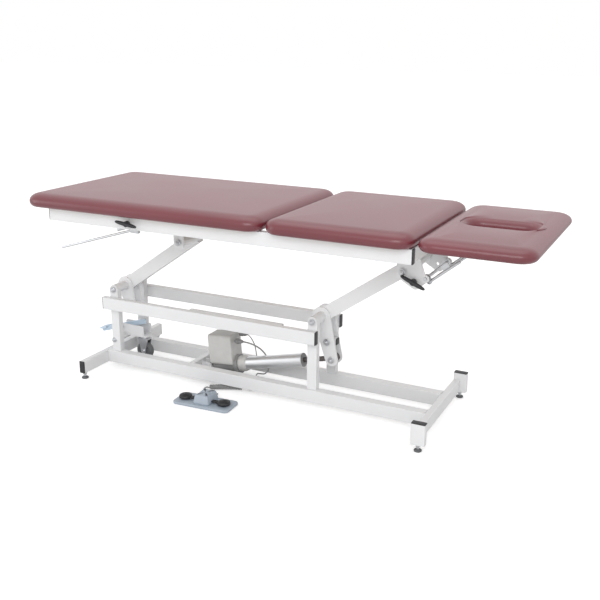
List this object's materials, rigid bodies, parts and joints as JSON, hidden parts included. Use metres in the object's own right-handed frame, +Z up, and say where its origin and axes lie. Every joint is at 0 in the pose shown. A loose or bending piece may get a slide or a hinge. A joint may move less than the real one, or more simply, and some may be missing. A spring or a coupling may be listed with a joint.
{
  "type": "examination couch",
  "caption": "Powered high-low examination couch with a raising foot section, fixed middle and tilting head section with a nose slot, on a parallel-arm lift.",
  "frame": {"origin": "on the floor, below the middle of the upholstery", "axes": "+X along the couch towards its head end, +Z up"},
  "size_m": [1.93, 0.686, 0.7613],
  "materials": {
    "white_paint": "gloss powder coat",
    "zinc": "zinc plate",
    "black_plastic": "moulded",
    "grey_plastic": "moulded, fine grain",
    "dark_grey_plastic": "moulded",
    "switch_grey": "satin enamel",
    "blue_paint": "enamel",
    "aluminium": "anodised",
    "vinyl": "smooth upholstery vinyl",
    "plywood": "sealed plywood",
    "grey_rubber": "soft tread",
    "cord_grey": "cord jacket"
  },
  "bodies": {
    "base": {"base_rail_near": "white_paint", "base_rail_far": "white_paint", "foot_crossbar": "white_paint", "head_crossbar": "white_paint", "head_post_near": "white_paint", "head_post_far": "white_paint", "foot_glide_near": "black_plastic", "foot_glide_far": "black_plastic", "head_glide_near": "black_plastic", "head_glide_far": "black_plastic", "foot_upright_near": "white_paint", "foot_upright_far": "white_paint", "head_upright_near": "white_paint", "head_upright_far": "white_paint", "upper_rail_near": "white_paint", "upper_rail_far": "white_paint", "foot_pivot_shaft": "zinc", "head_pivot_shaft": "zinc", "actuator_mount": "white_paint", "cord_coupler": "black_plastic", "foot_switch_base": "switch_grey", "supply_lead": "cord_grey", "curled_cord": "cord_grey", "switch_lead": "cord_grey"},
    "head_arm": {"head_lift_arm": "white_paint"},
    "foot_arm": {"foot_lift_arm": "white_paint"},
    "tie": {"tie_bar": "white_paint"},
    "actuator_front": {"actuator_rod": "zinc"},
    "actuator_body": {"actuator_tube": "aluminium", "actuator_housing": "dark_grey_plastic", "motor_box": "grey_plastic", "box_lead": "cord_grey"},
    "deck": {"deck_rail_near": "white_paint", "deck_rail_far": "white_paint", "deck_end_bar_foot": "white_paint", "deck_end_bar_head": "white_paint", "foot_lift_crossmember": "white_paint", "head_lift_crossmember": "white_paint", "foot_upper_shaft": "zinc", "head_upper_shaft": "zinc", "foot_prop_clamp": "zinc", "middle_cushion": "vinyl", "middle_board": "plywood"},
    "foot_section": {"foot_cushion": "vinyl", "foot_board": "plywood", "foot_prop_bracket": "zinc"},
    "head_section": {"head_cushion": "vinyl", "head_board": "plywood", "head_prop_bracket": "zinc"},
    "head_prop_low": {"head_prop_lower": "zinc"},
    "head_prop_high": {"head_prop_upper": "zinc"},
    "foot_prop": {"foot_prop_rod": "zinc"},
    "head_knob": {"head_prop_knob": "black_plastic"},
    "foot_knob": {"foot_prop_knob": "black_plastic"},
    "caster_arm": {"caster_carrier": "white_paint", "caster_lever": "blue_paint"},
    "caster_swivel": {"caster_fork": "zinc"},
    "caster_roller": {"caster_wheel": "grey_rubber"},
    "pedal_up": {"raise_pedal": "black_plastic"},
    "pedal_down": {"lower_pedal": "black_plastic"}
  },
  "joints": [
    {"name": "lift", "type": "hinge", "parent": "base", "child": "head_arm", "pos_m": [0.1476, 0, 0.3412], "axis": [0, -1, 0], "range_deg": [-36, 40]},
    {"name": "foot_arm_hinge", "type": "hinge", "parent": "base", "child": "foot_arm", "pos_m": [-0.75, 0, 0.3412], "axis": [0, -1, 0], "range_deg": [-36, 40]},
    {"name": "deck_level", "type": "hinge", "parent": "head_arm", "child": "deck", "pos_m": [0.49519, 0, 0.58278], "axis": [0, -1, 0], "range_deg": [-40, 36]},
    {"name": "tie_hinge", "type": "hinge", "parent": "head_arm", "child": "tie", "pos_m": [0.17374, 0, 0.24364], "axis": [0, -1, 0], "range_deg": [-40, 36]},
    {"name": "actuator_pin", "type": "hinge", "parent": "head_arm", "child": "actuator_front", "pos_m": [0.19238, 0, 0.17409], "axis": [0, -1, 0], "range_deg": [-40, 36]},
    {"name": "actuator_stroke", "type": "slide", "parent": "actuator_front", "child": "actuator_body", "axis": [-0.9736, 0, -0.2284], "range_m": [-0.103, 0.114]},
    {"name": "foot_raise", "type": "hinge", "parent": "deck", "child": "foot_section", "pos_m": [0.055, 0, 0.7333], "axis": [0, 1, 0], "range_deg": [0, 45]},
    {"name": "foot_prop_turn", "type": "hinge", "parent": "foot_section", "child": "foot_prop", "pos_m": [-0.44, -0.25, 0.667], "axis": [0, -1, 0], "range_deg": [0, 96]},
    {"name": "head_tilt", "type": "hinge", "parent": "deck", "child": "head_section", "pos_m": [0.59, 0, 0.7333], "axis": [0, -1, 0], "range_deg": [-30, 30]},
    {"name": "head_prop_low_turn", "type": "hinge", "parent": "deck", "child": "head_prop_low", "pos_m": [0.575, 0, 0.568], "axis": [0, -1, 0], "range_deg": [-13, 13]},
    {"name": "head_prop_high_turn", "type": "hinge", "parent": "head_section", "child": "head_prop_high", "pos_m": [0.732, 0, 0.688], "axis": [0, -1, 0], "range_deg": [-18, 18]},
    {"name": "head_knob_turn", "type": "hinge", "parent": "deck", "child": "head_knob", "pos_m": [0.53719, 0, 0.55478], "axis": [0, 1, 0], "range_deg": [-180, 0]},
    {"name": "foot_knob_turn", "type": "hinge", "parent": "deck", "child": "foot_knob", "pos_m": [-0.505, 0, 0.6786], "axis": [0, 1, 0], "range_deg": [-25, 0]},
    {"name": "caster_drop", "type": "hinge", "parent": "base", "child": "caster_arm", "pos_m": [-0.76, 0, 0.122], "axis": [0, 1, 0], "range_deg": [0, 14]},
    {"name": "caster_swivel_turn", "type": "hinge", "parent": "caster_arm", "child": "caster_swivel", "pos_m": [-0.68, 0, 0.057], "axis": [0, 0, 1], "continuous": true},
    {"name": "caster_roll", "type": "hinge", "parent": "caster_swivel", "child": "caster_roller", "pos_m": [-0.68, 0, 0.057], "axis": [0, 1, 0], "continuous": true},
    {"name": "raise_press", "type": "hinge", "parent": "base", "child": "pedal_up", "pos_m": [-0.19454, -0.24835, 0.019], "axis": [-0.0523, 0.9986, 0], "range_deg": [0, 2.5], "stiffness_Nm_per_rad": 8, "springref_deg": -1.15},
    {"name": "lower_press", "type": "hinge", "parent": "base", "child": "pedal_down", "pos_m": [-0.25746, -0.25165, 0.019], "axis": [0.0523, -0.9986, 0], "range_deg": [0, 2.5], "stiffness_Nm_per_rad": 8, "springref_deg": -1.15}
  ],
  "couplings": [
    {"joint": "foot_arm_hinge", "follows": "lift", "ratio": 1},
    {"joint": "deck_level", "follows": "lift", "ratio": -1},
    {"joint": "tie_hinge", "follows": "lift", "ratio": -1},
    {"joint": "actuator_pin", "follows": "lift", "ratio": -1},
    {"joint": "actuator_stroke", "follows": "lift", "m_per_rad": 0.1604},
    {"joint": "foot_prop_turn", "follows": "foot_raise", "ratio": 2.12},
    {"joint": "head_prop_low_turn", "follows": "head_tilt", "ratio": 0.415},
    {"joint": "head_prop_high_turn", "follows": "head_tilt", "ratio": -0.585}
  ]
}
